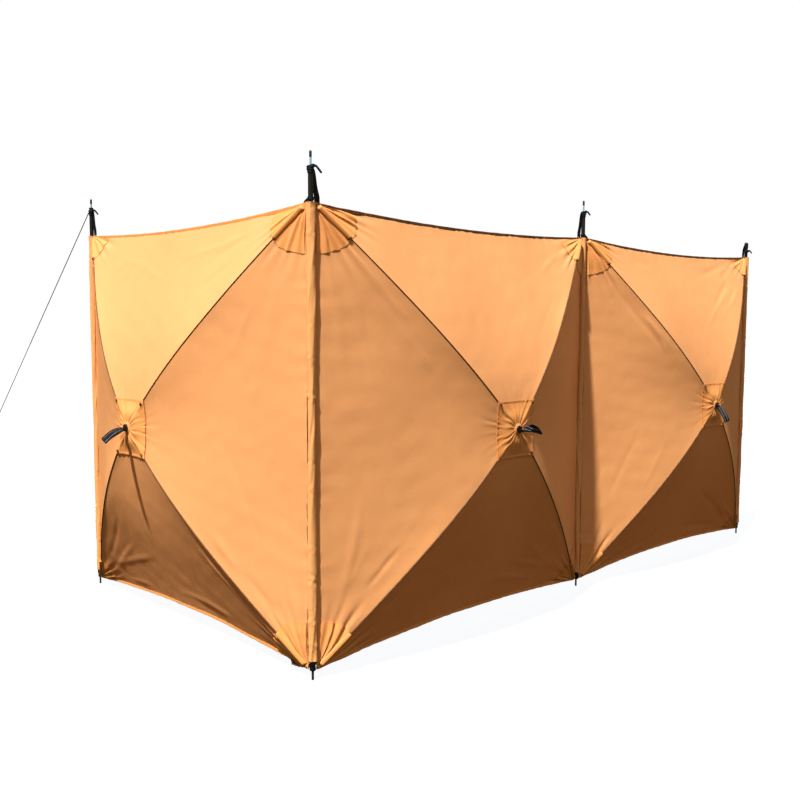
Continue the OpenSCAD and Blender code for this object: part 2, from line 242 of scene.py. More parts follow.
def relief(bay, x, z):
    """How far the cloth's folds stand out from its even shape, towards the outer side."""
    x, z = np.asarray(x, float), np.asarray(z, float)
    seed = 100 * bay
    dx, dz = x - HALF_W, z - HUB_Z
    r_hub, turn = np.hypot(dx, dz), np.arctan2(dz, dx)
    out = SLACK * waves(x, z, seed, 0.55)
    out = out + 0.00035 * waves(x, z, seed + 1, 0.12, 12)
    out += HUB_FOLD * pleats(turn, seed + 2, 26) * bell(r_hub, 0.13, 0.06)
    out += CREASE * creases(bay, x, z)
    for k, (sx, sz) in enumerate(CORNERS):
        edge = EDGES[bay][0 if sx < 0 else 1]
        ox, oz = np.abs(x - (edge if sx < 0 else BAY_W - edge)), np.abs(z - HUB_Z - sz * HALF_H)
        r, a = np.hypot(ox, oz), np.arctan2(oz, ox)
        out += CORNER_FOLD * pleats(a, seed + 3 + k, 34) * bell(r, 0.17, 0.085)
    s, u, upright = panel_place(bay, x, z)
    depth = s * np.where(upright, HALF_H, HALF_W)  # distance from the panel's outer edge
    out += np.where(upright, HEM_PUCKER * pleats(x, seed + 11, 95), EDGE_PUCKER * pleats(z, seed + 12, 80)) \
        * np.exp(-depth / 0.035)
    seam = seam_distance(bay, x, z)
    calm = 1 - 0.85 * np.exp(-((seam / 0.022) ** 2))
    out = out * calm
    return np.where(out < 0, np.maximum(out, -0.006), out)


def cloth_y(bay, x, z):
    """The depth of the cloth's middle surface, towards the sheltered side."""
    s, u, _ = panel_place(bay, x, z)
    q = 1 - s
    return -bow_reach(q) + PANEL_DIP * across(u) * 4 * s * (1 - s) - relief(bay, x, z)


# ---------------------------------------------------------------- mesh makers
def mesh_object(name, points, faces, material, sharp=0.9):
    """A mesh from points in the row frame, with its faces turned outwards."""
    points = np.asarray(points, float).reshape(-1, 3)
    mesh = bpy.data.meshes.new(name)
    mesh.from_pydata(points.tolist(), [], [list(f) for f in faces])
    mesh.update()
    mesh.validate()
    mesh.calc_loop_triangles()
    tris = np.zeros(len(mesh.loop_triangles) * 3, np.int32)
    mesh.loop_triangles.foreach_get("vertices", tris)
    a, b, c = (points[tris.reshape(-1, 3)[:, k]] for k in range(3))
    if np.einsum("ij,ij->i", a, np.cross(b, c)).sum() < 0:
        mesh.flip_normals()
    mesh.polygons.foreach_set("use_smooth", np.ones(len(mesh.polygons), bool))
    mesh.set_sharp_from_angle(angle=sharp)
    mesh.materials.append(material)
    ob = bpy.data.objects.new(name, mesh)
    bpy.context.scene.collection.objects.link(ob)
    return ob


def grid_faces(rows, cols, start=0, flip=False, wrap=False):
    i, j = np.meshgrid(np.arange(rows - 1), np.arange(cols if wrap else cols - 1), indexing="ij")
    a = start + i * cols + j
    b = start + i * cols + (j + 1) % cols
    quads = np.stack([a, b, b + cols, a + cols], -1).reshape(-1, 4)
    return quads[:, ::-1] if flip else quads


def shell_parts(front, back, wrap=False):
    """A closed shell between two grids of points."""
    rows, cols = front.shape[:2]
    layer = rows * cols
    faces = [grid_faces(rows, cols, 0, False, wrap), grid_faces(rows, cols, layer, True, wrap)]
    if wrap:
        for row in (0, rows - 1):
            a = row * cols + np.arange(cols)
            b = row * cols + (np.arange(cols) + 1) % cols
            quads = np.stack([a, a + layer, b + layer, b], -1)
            faces.append(quads if row == 0 else quads[:, ::-1])
    else:
        rim = np.concatenate([np.arange(cols - 1), np.arange(rows - 1) * cols + cols - 1,
                              (rows - 1) * cols + np.arange(cols - 1, 0, -1), np.arange(rows - 1, 0, -1) * cols])
        nxt = np.roll(rim, -1)
        faces.append(np.stack([rim, rim + layer, nxt + layer, nxt], -1))
    return np.concatenate([front.reshape(-1, 3), back.reshape(-1, 3)]), np.concatenate(faces)


class Parts:
    """Gathers closed shells and tubes into one mesh."""

    def __init__(self):
        self.points, self.faces, self.count = [], [], 0

    def add(self, points, faces):
        points = np.asarray(points, float).reshape(-1, 3)
        self.points.append(points)
        self.faces += [[int(v) + self.count for v in f] for f in faces]
        self.count += len(points)
        return self

    def make(self, name, material, sharp=0.9):
        return mesh_object(name, np.concatenate(self.points), self.faces, material, sharp)


def sweep_parts(path, wide, width, thick, closed=False, corner=0.35):
    """A flat strap along a path; wide gives its width direction at each point."""
    path, wide = np.asarray(path, float), np.asarray(wide, float)
    count = len(path)
    wide = np.broadcast_to(wide, path.shape).astype(float)
    width = np.broadcast_to(width, count).astype(float)
    thick = np.broadcast_to(thick, count).astype(float)
    ahead = np.roll(path, -1, 0) - np.roll(path, 1, 0) if closed else np.gradient(path, axis=0)
    ahead /= np.linalg.norm(ahead, axis=1, keepdims=True)
    wide = wide - np.sum(wide * ahead, 1, keepdims=True) * ahead
    wide /= np.linalg.norm(wide, axis=1, keepdims=True)
    over = np.cross(ahead, wide)
    section = []
    for side in (1, -1):
        for a in np.linspace(-1, 1, 9) * side:
            section.append((a * (1 - 0.0), side))
    # the long faces are full, and the edges are round
    outline = []
    for a, side in section:
        edge = 1 - abs(a)
        outline.append((a, side * (1 if edge > 1e-6 else 1 - corner)))
    outline = np.array(outline)
    rings = (path[:, None, :] + outline[None, :, :1] * wide[:, None, :] * width[:, None, None] / 2
             + outline[None, :, 1:] * over[:, None, :] * thick[:, None, None] / 2)
    return tube_faces(rings, closed)


def tube_faces(rings, closed=False):
    count, sides = rings.shape[:2]
    faces = [list(f) for f in grid_faces(count, sides, 0, False, True)]
    if closed:
        a = (count - 1) * sides + np.arange(sides)
        b = (count - 1) * sides + (np.arange(sides) + 1) % sides
        faces += [list(f) for f in np.stack([a, b, b - (count - 1) * sides, a - (count - 1) * sides], -1)]
    else:
        faces += [list(range(sides))[::-1], [(count - 1) * sides + k for k in range(sides)]]
    return rings.reshape(-1, 3), faces


def tube_parts(path, radius, sides=10, closed=False):
    """A round cord or tube along a path."""
    path = np.asarray(path, float)
    radius = np.broadcast_to(radius, len(path)).astype(float)
    ahead = np.roll(path, -1, 0) - np.roll(path, 1, 0) if closed else np.gradient(path, axis=0)
    ahead /= np.linalg.norm(ahead, axis=1, keepdims=True)
    up = np.array((0.0, 0.0, 1.0)) if abs(ahead[0][2]) < 0.9 else np.array((1.0, 0.0, 0.0))
    rings = []
    for p, d, r in zip(path, ahead, radius):
        up = up - np.dot(up, d) * d
        up /= np.linalg.norm(up)
        side = np.cross(d, up)
        a = np.arange(sides) * math.tau / sides
        rings.append(p + r * (np.cos(a)[:, None] * up + np.sin(a)[:, None] * side))
    return tube_faces(np.array(rings), closed)


def round_ends(path, radius, cells=4):
    """A path and its radii, with half-round ends added."""
    path = np.asarray(path, float)
    first, last = path[0] - path[1], path[-1] - path[-2]
    first, last = first / np.linalg.norm(first), last / np.linalg.norm(last)
    turns = np.linspace(math.pi / 2 * 0.97, math.pi / 2 / cells, cells)
    head = [path[0] + first * radius * math.sin(t) for t in turns]
    tail = [path[-1] + last * radius * math.sin(t) for t in turns[::-1]]
    caps = [radius * math.cos(t) for t in turns]
    return np.array([*head, *path, *tail]), np.array([*caps, *[radius] * len(path), *caps[::-1]])


def curve_through(points, count):
    """A smooth path through points, as a Catmull-Rom spline."""
    p = np.asarray(points, float)
    p = np.concatenate([[2 * p[0] - p[1]], p, [2 * p[-1] - p[-2]]])
    out = []
    spans = len(p) - 3
    for t in np.linspace(0, spans, count):
        k = min(int(t), spans - 1)
        f = t - k
        a, b, c, d = p[k:k + 4]
        out.append(0.5 * (2 * b + (c - a) * f + (2 * a - 5 * b + 4 * c - d) * f**2 + (3 * b - a - 3 * c + d) * f**3))
    return np.array(out)


# ---------------------------------------------------------------- materials
class Nodes:
    """Short calls for building a material's nodes."""

    def __init__(self, name):
        self.material = bpy.data.materials.new(name)
        self.material.use_nodes = True
        self.tree = self.material.node_tree
        self.tree.nodes.clear()
        self.out = self.add("ShaderNodeOutputMaterial")
        self.coords = self.add("ShaderNodeTexCoord").outputs["Object"]

    def add(self, kind, **settings):
        node = self.tree.nodes.new(kind)
        for key, value in settings.items():
            setattr(node, key, value)
        return node

    def link(self, source, target):
        self.tree.links.new(source, target)
        return target

    def math(self, operation, a, b=None, c=None):
        node = self.add("ShaderNodeMath", operation=operation)
        for k, value in enumerate((a, b, c)):
            if value is None:
                continue
            if isinstance(value, (int, float)):
                node.inputs[k].default_value = value
            else:
                self.link(value, node.inputs[k])
        return node.outputs[0]

    def noise(self, vector, scale, detail=4.0, roughness=0.55):
        node = self.add("ShaderNodeTexNoise")
        node.inputs["Scale"].default_value = scale
        node.inputs["Detail"].default_value = detail
        node.inputs["Roughness"].default_value = roughness
        self.link(vector, node.inputs["Vector"])
        return node.outputs["Fac"]

    def stretch(self, scale, vector=None, turn=(0, 0, 0)):
        node = self.add("ShaderNodeMapping")
        node.inputs["Scale"].default_value = scale
        node.inputs["Rotation"].default_value = turn
        self.link(vector or self.coords, node.inputs["Vector"])
        return node.outputs["Vector"]

    def axes(self, vector=None):
        node = self.add("ShaderNodeSeparateXYZ")
        self.link(vector or self.coords, node.inputs[0])
        return node.outputs

    def ramp(self, fac, *stops):
        node = self.add("ShaderNodeValToRGB")
        elements = node.color_ramp.elements
        while len(elements) < len(stops):
            elements.new(0.5)
        for element, (at, colour) in zip(elements, stops):
            element.position = at
            element.color = (*colour, 1)
        self.link(fac, node.inputs["Fac"])
        return node.outputs["Color"]

    def span(self, fac, low, high):
        """Maps 0..1 to low..high."""
        node = self.add("ShaderNodeMapRange")
        node.inputs["To Min"].default_value = low
        node.inputs["To Max"].default_value = high
        self.link(fac, node.inputs["Value"])
        return node.outputs["Result"]

    def bump(self, height, distance, strength=1.0, below=None):
        node = self.add("ShaderNodeBump")
        node.inputs["Strength"].default_value = strength
        node.inputs["Distance"].default_value = distance
        self.link(height, node.inputs["Height"])
        if below is not None:
            self.link(below, node.inputs["Normal"])
        return node.outputs["Normal"]

    def principled(self, **sockets):
        node = self.add("ShaderNodeBsdfPrincipled")
        for key, value in sockets.items():
            socket = node.inputs[key.replace("_", " ")]
            if hasattr(value, "is_output"):
                self.link(value, socket)
            else:
                socket.default_value = (*value, 1) if isinstance(value, tuple) and len(value) == 3 else value
        return node

    def finish(self, shader):
        self.link(shader, self.out.inputs["Surface"])
        return self.material


def weave(n, thread):
    """A plain weave of that thread spacing, level with the cloth whichever way its bay faces."""
    x, y, z = n.axes()
    level = n.math("ADD", x, y)
    warp = n.math("SINE", n.math("MULTIPLY", level, math.tau / thread))
    weft = n.math("SINE", n.math("MULTIPLY", z, math.tau / thread))
    return n.span(n.math("MULTIPLY", warp, weft), 0.0, 1.0)


def cloth_material(name, tone, glow, through, rough):
    """Thin coated polyester. tone is its colour, glow the colour of the light it lets through."""
    n = Nodes(name)
    large = n.noise(n.coords, 2.3, 3.0)
    fine = n.noise(n.coords, 60.0, 4.0)
    mottle = n.math("ADD", n.math("MULTIPLY", large, 0.75), n.math("MULTIPLY", fine, 0.25))
    dark = tuple(c * 0.95 for c in tone)
    light = tuple(min(1.0, c * 1.04) for c in tone)
    colour = n.ramp(mottle, (0.32, dark), (0.5, tone), (0.68, light))
    crumple = n.noise(n.stretch((22.0, 22.0, 9.0)), 1.0, 5.0, 0.5)
    crumple_2 = n.noise(n.stretch((30.0, 30.0, 30.0)), 1.0, 4.0, 0.5)
    both = n.math("ADD", crumple, crumple_2)
    normal = n.bump(both, 0.003, 0.16)
    normal = n.bump(weave(n, 0.0011), 0.00025, 0.35, normal)
    roughness = n.span(n.noise(n.coords, 14.0, 3.0), rough - 0.07, rough + 0.07)
    body = n.principled(Base_Color=colour, Roughness=roughness, Normal=normal, Specular_IOR_Level=0.30)
    pass_on = n.add("ShaderNodeBsdfTranslucent")
    pass_on.inputs["Color"].default_value = (*glow, 1)
    n.link(normal, pass_on.inputs["Normal"])
    mix = n.add("ShaderNodeMixShader")
    mix.inputs[0].default_value = through
    n.link(body.outputs[0], mix.inputs[1])
    n.link(pass_on.outputs[0], mix.inputs[2])
    return n.finish(mix.outputs[0])


def binding_material():
    n = Nodes("binding")
    x, y, z = n.axes()
    level = n.math("ADD", x, y)
    ribs = n.math("SINE", n.math("MULTIPLY", level, math.tau / 0.0016))
    cross = n.math("SINE", n.math("MULTIPLY", z, math.tau / 0.0022))
    worn = n.noise(n.coords, 55.0, 5.0)
    colour = n.ramp(worn, (0.30, (0.070, 0.024, 0.005)), (0.55, (0.120, 0.044, 0.010)), (0.75, (0.185, 0.078, 0.020)))
    normal = n.bump(n.math("ADD", ribs, n.math("MULTIPLY", cross, 0.6)), 0.0003, 0.5)
    body = n.principled(Base_Color=colour, Roughness=n.span(worn, 0.5, 0.7), Normal=normal,
                        Specular_IOR_Level=0.25)
    return n.finish(body.outputs[0])


def webbing_material():
    n = Nodes("webbing")
    x, y, z = n.axes()
    ribs = n.math("SINE", n.math("MULTIPLY", n.math("ADD", n.math("ADD", x, y), z), math.tau / 0.0028))
    cross = n.math("SINE", n.math("MULTIPLY", n.math("SUBTRACT", n.math("SUBTRACT", x, y), z), math.tau / 0.0019))
    weave_up = n.math("MULTIPLY", ribs, cross)
    fuzz = n.noise(n.coords, 420.0, 3.0)
    colour = n.ramp(fuzz, (0.3, (0.0016, 0.0017, 0.0022)), (0.7, (0.007, 0.007, 0.009)))
    normal = n.bump(weave_up, 0.0004, 0.5)
    body = n.principled(Base_Color=colour, Roughness=n.span(fuzz, 0.36, 0.6), Normal=normal,
                        Specular_IOR_Level=0.12)
    return n.finish(body.outputs[0])


def cord_material():
    n = Nodes("cord")
    x, y, z = n.axes()
    run = n.math("ADD", n.math("MULTIPLY", y, 1.0), n.math("MULTIPLY", z, -0.9))
    braid = n.math("SINE", n.math("MULTIPLY", run, math.tau / 0.006))
    twist = n.math("SINE", n.math("MULTIPLY", n.math("ADD", x, run), math.tau / 0.0035))
    fuzz = n.noise(n.coords, 700.0, 2.0)
    colour = n.ramp(fuzz, (0.3, (0.0015, 0.0015, 0.002)), (0.7, (0.006, 0.006, 0.007)))
    normal = n.bump(n.math("MULTIPLY", braid, twist), 0.0005, 0.6)
    body = n.principled(Base_Color=colour, Roughness=0.6, Normal=normal, Specular_IOR_Level=0.15)
    return n.finish(body.outputs[0])


def plastic_material(name, tone, rough):
    n = Nodes(name)
    grain = n.noise(n.coords, 900.0, 3.0)
    patch = n.noise(n.coords, 25.0, 4.0)
    colour = n.ramp(patch, (0.3, tuple(c * 0.75 for c in tone)), (0.7, tuple(c * 1.3 for c in tone)))
    normal = n.bump(grain, 0.0002, 0.35)
    body = n.principled(Base_Color=colour, Roughness=n.span(patch, rough - 0.06, rough + 0.08), Normal=normal)
    return n.finish(body.outputs[0])


def powder_coat_material():
    n = Nodes("powder_coat")
    peel = n.noise(n.coords, 480.0, 3.0)
    scuff = n.noise(n.stretch((70, 70, 6)), 1.0, 6.0, 0.7)
    colour = n.ramp(scuff, (0.35, (0.003, 0.003, 0.004)), (0.62, (0.007, 0.007, 0.008)), (0.8, (0.02, 0.02, 0.022)))
    normal = n.bump(peel, 0.0003, 0.4)
    body = n.principled(Base_Color=colour, Roughness=n.span(scuff, 0.32, 0.5), Normal=normal, Specular_IOR_Level=0.3)
    return n.finish(body.outputs[0])


def steel_material():
    n = Nodes("steel")
    lines = n.noise(n.stretch((900, 900, 30)), 1.0, 3.0)
    stain = n.noise(n.coords, 45.0, 5.0)
    # Steel higher than half a metre gets a light blue: a painted reflection of the sky. Lower steel is near black.
    painted_sky_reflection = n.ramp(stain, (0.3, (0.20, 0.44, 0.66)), (0.7, (0.32, 0.58, 0.82)))
    dark = n.ramp(stain, (0.3, (0.010, 0.010, 0.011)), (0.7, (0.04, 0.04, 0.042)))
    mix = n.add("ShaderNodeMix", data_type="RGBA")
    n.link(n.math("GREATER_THAN", n.axes()[2], 0.5), mix.inputs["Factor"])
    n.link(dark, mix.inputs[6])
    n.link(painted_sky_reflection, mix.inputs[7])
    colour = mix.outputs[2]
    normal = n.bump(lines, 0.0002, 0.3)
    body = n.principled(Base_Color=colour, Metallic=0.4, Roughness=n.span(lines, 0.2, 0.38), Normal=normal)
    return n.finish(body.outputs[0])


def rod_material():
    n = Nodes("glass_fibre")
    fibre = n.noise(n.stretch((260, 260, 260)), 1.0, 4.0)
    colour = n.ramp(fibre, (0.3, (0.014, 0.014, 0.016)), (0.7, (0.035, 0.035, 0.038)))
    body = n.principled(Base_Color=colour, Roughness=n.span(fibre, 0.22, 0.36), Normal=n.bump(fibre, 0.0002, 0.25),
                        Coat_Weight=0.3)
    return n.finish(body.outputs[0])


CLOTH = cloth_material("cloth", (0.80, 0.385, 0.145), (0.90, 0.34, 0.05), 0.28, 0.44)
DOUBLED = cloth_material("doubled_cloth", (0.80, 0.325, 0.095), (0.85, 0.28, 0.04), 0.16, 0.44)
TAPE = cloth_material("rod_tape", (0.66, 0.26, 0.065), (0.8, 0.25, 0.03), 0.12, 0.42)
SLEEVE = cloth_material("sleeve_cloth", (0.78, 0.36, 0.125), (0.85, 0.33, 0.06), 0.14, 0.40)
BINDING = binding_material()
WEBBING = webbing_material()
CORD = cord_material()
MOULDED = plastic_material("moulded_plastic", (0.004, 0.004, 0.005), 0.36)
RUBBER = plastic_material("rubber", (0.003, 0.003, 0.0035), 0.6)
POWDER = powder_coat_material()
STEEL = steel_material()
GLASS_FIBRE = rod_material()
# Light grey thread for the strap's stitch lines, which also paint the highlight lines that run along the webbing.
STITCH_AND_HIGHLIGHT_THREAD = plastic_material("thread", (0.16, 0.16, 0.19), 0.6)


# ---------------------------------------------------------------- cloth panels
SHEET_HALF = 0.0004  # half the thickness of one layer of cloth
EDGE_CELLS = 126
DEPTH_CELLS = 64
PATCH_HALF = 0.118  # half the side of the square patch round a hub
UNDERLAP = 0.016  # how far a panel goes under the patch


def bay_shell(bay, x, z, front, back):
    """A closed shell of cloth over a grid of x and z. front and back are distances outwards from the middle."""
    y = cloth_y(bay, x, z)
    outer = place(bay, np.stack([x, y - front, z], -1))
    inner = place(bay, np.stack([x, y - back, z], -1))
    return shell_parts(outer, inner)


def make_panel(bay, panel):
    first = HEM_W * 0.5 / HALF_H if panel in (TOP, BOTTOM) else 0.0
    last = 1 - (PATCH_HALF - UNDERLAP) / (HALF_H if panel in (TOP, BOTTOM) else HALF_W)
    t = np.linspace(0, 1, DEPTH_CELLS + 1)
    s = first + (last - first) * (t + 0.10 * np.sin(math.tau * t) / math.tau * -1)
    u = np.linspace(0, 1, EDGE_CELLS + 1)
    u = u - 0.35 * np.sin(math.tau * u) / math.tau * -1 * -1
    inset = 0.0006 / (BAY_W * (1 - s))
    uu = inset[:, None] + u[None, :] * (1 - 2 * inset[:, None])
    x, z = panel_plane(bay, panel, s[:, None] + 0 * uu, uu)
    points, faces = bay_shell(bay, x, z, SHEET_HALF, -SHEET_HALF)
    name = f"bay_{bay}_{PANELS[panel]}_panel"
    ob = mesh_object(name, points, faces, CLOTH)
    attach(ob, BODY[bay])
    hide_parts(f"bay_{bay}_{PANELS[panel]}_cloth")
    return ob


# ---------------------------------------------------------------- patches
def make_hub_patch(bay):
    """The square patch round the hub, gathered into pleats that run to the knob."""
    turns, rings = 160, 36
    a = np.linspace(0, math.tau, turns, endpoint=False)[None, :]
    t = np.linspace(0, 1, rings + 1)[:, None]
    edge = PATCH_HALF / np.maximum(np.abs(np.cos(a)), np.abs(np.sin(a)))
    edge = edge * (1 - 0.012 * np.abs(pleats(a, 40 + bay, 44)) * (np.abs(np.sin(2 * a)) < 0.97))
    r0 = KNOB_R * 0.92
    r = r0 + (edge - r0) * t
    x, z = HALF_W + r * np.cos(a), HUB_Z + r * np.sin(a)
    share = (r - r0) / (edge - r0)
    # the patch is level over the hub's plate, and follows the panels towards its edge
    bow = -bow_reach(1 - panel_place(bay, x, z)[0])
    y = bow + (cloth_y(bay, x, z) - bow) * smooth(r, 0.050, 0.112)
    swing = a + 0.05 * np.sin(60 * r + 2 * a)
    main = 0.5 + 0.5 * pleats(swing, 50 + bay, 17)
    small = 0.5 + 0.5 * pleats(a, 60 + bay, 45)
    stand = 0.0016 + 0.0026 * (1 - smooth(r, 0.045, 0.095)) + 0.0016 * smooth(share, 0.90, 0.96)
    stand += 0.0034 * main * bell(share, 0.38, 0.36) * smooth(r, 0.013, 0.03)
    stand += 0.0024 * small * smooth(share, 0.55, 0.95)
    stand += 0.0050 * (1 - smooth(r, 0.015, 0.026))  # the cloth rises where the knob clamps it
    front = y - stand
    outer = place(bay, np.stack([x, front, z], -1))
    inner = place(bay, np.stack([x, front + 0.0012, z], -1))
    points, faces = shell_parts(outer, inner, wrap=True)
    ob = mesh_object(f"bay_{bay}_hub_patch", points, faces, DOUBLED)
    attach(ob, BODY[bay])
    return ob


FAN_R = 0.180


def make_fans(bay):
    """The pleated reinforcement at each corner of a bay, over both of the corner's panels."""
    parts = Parts()
    for k, (sx, sz) in enumerate(CORNERS):
        edge = EDGES[bay][0 if sx < 0 else 1]
        cx, cz = (edge if sx < 0 else BAY_W - edge), HUB_Z + sz * HALF_H
        a = np.linspace(0.08, math.pi / 2 - 0.02, 61)[None, :]
        t = np.linspace(0.03, 1, 25)[:, None]
        reach = FAN_R * (1 - 0.025 * np.abs(pleats(a, 80 + 4 * bay + k, 40)) - 0.06 * bell(a, math.pi / 4, 0.12))
        r = reach * t
        x = cx - sx * r * np.cos(a)
        drop = (TOP_SAG if sz > 0 else BOTTOM_RISE) * across(np.clip(r * np.cos(a) / BAY_W, 0, 1))
        z = cz - sz * (r * np.sin(a) + drop * (1 - np.sin(a)) + 0.004 * np.cos(a))
        fold = 0.5 + 0.5 * pleats(a + 0.05 * np.sin(20 * r), 90 + 4 * bay + k, 24)
        stand = 0.0012 + 0.0068 * fold * bell(t, 0.62, 0.42) * smooth(t, 0.05, 0.3)
        y = cloth_y(bay, x, z)
        outer = place(bay, np.stack([x, y - stand - SHEET_HALF, z], -1))
        inner = place(bay, np.stack([x, y - stand + 0.0008 - SHEET_HALF, z], -1))
        parts.add(*shell_parts(outer, inner))
    ob = parts.make(f"bay_{bay}_corner_patches", DOUBLED)
    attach(ob, BODY[bay])
    return ob


def diagonal(bay, corner, distance):
    """The x and z at a distance from a corner of the cloth along its seam."""
    sx, sz = CORNERS[corner]
    edge = EDGES[bay][0 if sx < 0 else 1]
    wide = HALF_W - edge
    length = math.hypot(wide, HALF_H)
    q = 1 - np.asarray(distance, float) / length
    return HALF_W + sx * wide * q, HUB_Z + sz * HALF_H * q


def seam_strip(bay, corner, start, end, width, height, cells, base, back=False, ends=0.01, across_cells=8):
    """A domed strip along a seam, from one distance from the corner to another."""
    sx, sz = CORNERS[corner]
    edge = EDGES[bay][0 if sx < 0 else 1]
    wide = HALF_W - edge
    length = math.hypot(wide, HALF_H)
    d = np.linspace(start, end, cells + 1)[:, None]
    v = np.linspace(-1, 1, across_cells + 1)[None, :]
    x, z = diagonal(bay, corner, d)
    nx, nz = -sz * HALF_H / length, sx * wide / length
    x, z = x + nx * v * width / 2, z + nz * v * width / 2
    dome = np.sqrt(np.clip(1 - v**2, 0, 1))
    taper = np.sqrt(np.clip(smooth(d, start - 1e-4, start + ends) * (1 - smooth(d, end - ends, end + 1e-4)), 0, 1))
    way = 1 if back else -1
    y = cloth_y(bay, x, z) + way * base
    top = y + way * (height * dome * (0.35 + 0.65 * taper) + 0.0004)
    outer = place(bay, np.stack([x, top, z], -1))
    inner = place(bay, np.stack([x, y, z], -1))
    return shell_parts(outer, inner)


TAPE_END = 0.166


def make_seams(bay):
    parts = Parts()
    for corner in range(4):
        # The seam strips are raised seams in the dark binding cloth; their darkness is partly painted shade, the shadow
        # of the rod behind and of the fold along the seam.
        parts.add(*seam_strip(bay, corner, 0.165, math.hypot(HALF_W, HALF_H) - PATCH_HALF * 1.44, 0.0056, 0.0022,
                              90, 0.0003, across_cells=6))
        # A dark band across the inner end of the rod tape: painted shade of the tape's opening.
        parts.add(*seam_strip(bay, corner, TAPE_END - 0.002, TAPE_END + 0.004, 0.026, 0.0050, 6, 0.0006, ends=0.002))
        tack = math.hypot(HALF_W, HALF_H) - PATCH_HALF * 1.36
        parts.add(*seam_strip(bay, corner, tack - 0.006, tack + 0.006, 0.012, 0.0030, 8, 0.0050, ends=0.004))
    ob = parts.make(f"bay_{bay}_seams", BINDING)
    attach(ob, BODY[bay])
    return ob


def make_pockets(bay):
    """The flat tapes over the ends of the rods in front, and the pockets that hold them behind."""
    front, behind = Parts(), Parts()
    for corner in range(4):
        front.add(*seam_strip(bay, corner, 0.018, TAPE_END, 0.025, 0.0085, 40, 0.0026, ends=0.004, across_cells=12))
        behind.add(*seam_strip(bay, corner, 0.012, 0.150, 0.034, 0.0165, 40, 0.0004, back=True, ends=0.05,
                               across_cells=14))
    tape = front.make(f"bay_{bay}_rod_tapes", TAPE)
    pocket = behind.make(f"bay_{bay}_rod_pockets", DOUBLED)
    for ob in (tape, pocket):
        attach(ob, BODY[bay])
    return tape, pocket


def make_hem(bay, panel):
    """The tape folded over the top edge, or the cloth turned up along the bottom edge."""
    top = panel == TOP
    u = np.linspace(0, 1, 261)
    x, z = panel_plane(bay, panel, 0 * u, u)
    sign = 1 if top else -1
    rng = 300 + 10 * bay + panel
    wave = 0.0005 * pleats(x, rng, 120) + 0.0008 * waves(x, 0 * x, rng + 1, 0.2)
    middle_z = z - sign * (HEM_W / 2)
    y = cloth_y(bay, x, np.clip(middle_z, GROUND_GAP + 0.002, CLOTH_TOP - 0.002)) - wave * 0.6
    turns = np.linspace(0, math.tau, 21)[:-1]
    thick = (0.0023 if top else 0.0028) * (1 + 0.12 * pleats(x, rng + 2, 160))
    tall = HEM_W / 2 * (1 + 0.05 * pleats(x, rng + 3, 60)) + 0.0006
    cos, sin = np.cos(turns), np.sin(turns)
    flat = np.sign(cos) * np.abs(cos) ** 0.3, np.sign(sin) * np.abs(sin) ** 0.4
    rings = np.stack([x[:, None] + 0 * cos[None, :], y[:, None] + thick[:, None] * flat[0][None, :],
                      middle_z[:, None] + tall[:, None] * flat[1][None, :]], -1)
    # Bay 1's top binding takes the lighter rod-tape cloth and bays 2 and 3 take the dark binding cloth: one binding in
    # a lit and a shaded copy, painted light on bay 1 and painted shade on bays 2 and 3.
    ob = Parts().add(*tube_faces(place(bay, rings))).make(
        f"bay_{bay}_{'top_binding' if top else 'bottom_hem'}", (TAPE if bay == 1 else BINDING) if top else DOUBLED)
    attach(ob, BODY[bay])
    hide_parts(f"bay_{bay}_hems")
    return ob


# ---------------------------------------------------------------- sleeves
def make_sleeve(n):
    """The cloth sleeve round a pole: loose, twisted a little and rolled at its lower end."""
    sides, rows = 36, 190
    a = np.linspace(0, math.tau, sides, endpoint=False)[None, :]
    t = np.linspace(0, 1, rows)[:, None]
    z = SLEEVE_FOOT + (CLOTH_TOP - SLEEVE_FOOT) * t + 0 * a
    lean = 2.2 * np.sin(3.1 * z + n) + 1.3 * np.sin(7.3 * z + 2 * n)
    r = SLEEVE_R * (0.845 + 0.075 * np.sin(2 * (a + lean * 0.4) + n))
    spiral = pleats((a - 5 * z + 0.35 * np.sin(9 * z + n)) / math.tau, 400 + n, math.tau * 4)
    reach = 0.55 + 0.45 * waves(z, a * 0.02, 410 + n, 0.22)
    r = r + 0.0026 * spiral * np.clip(reach, 0, 1)
    bunch = pleats(z + 0.006 * np.sin(a + n), 420 + n, 330) * np.clip(waves(z, 0 * z, 430 + n, 0.16) + 0.3, 0, 1)
    r = r + 0.0024 * bunch
    end = np.exp(-(z - SLEEVE_FOOT) / 0.010) + np.exp(-(CLOTH_TOP - z) / 0.008)
    r = r + 0.0012 * end
    r = np.clip(r, 0.0128, SLEEVE_R)
    thin = 0.0009 + 0.0006 * end
    outer = np.stack([r * np.cos(a), r * np.sin(a), z], -1)
    inner = np.stack([(r - thin) * np.cos(a), (r - thin) * np.sin(a), z], -1)
    points, faces = shell_parts(place_pole(n, outer), place_pole(n, inner), wrap=True)
    ob = mesh_object(f"pole_{n}_cloth_sleeve", points, faces, SLEEVE)
    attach(ob, POLE_BODY[n])
    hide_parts(f"sleeve_{n}")
    return ob


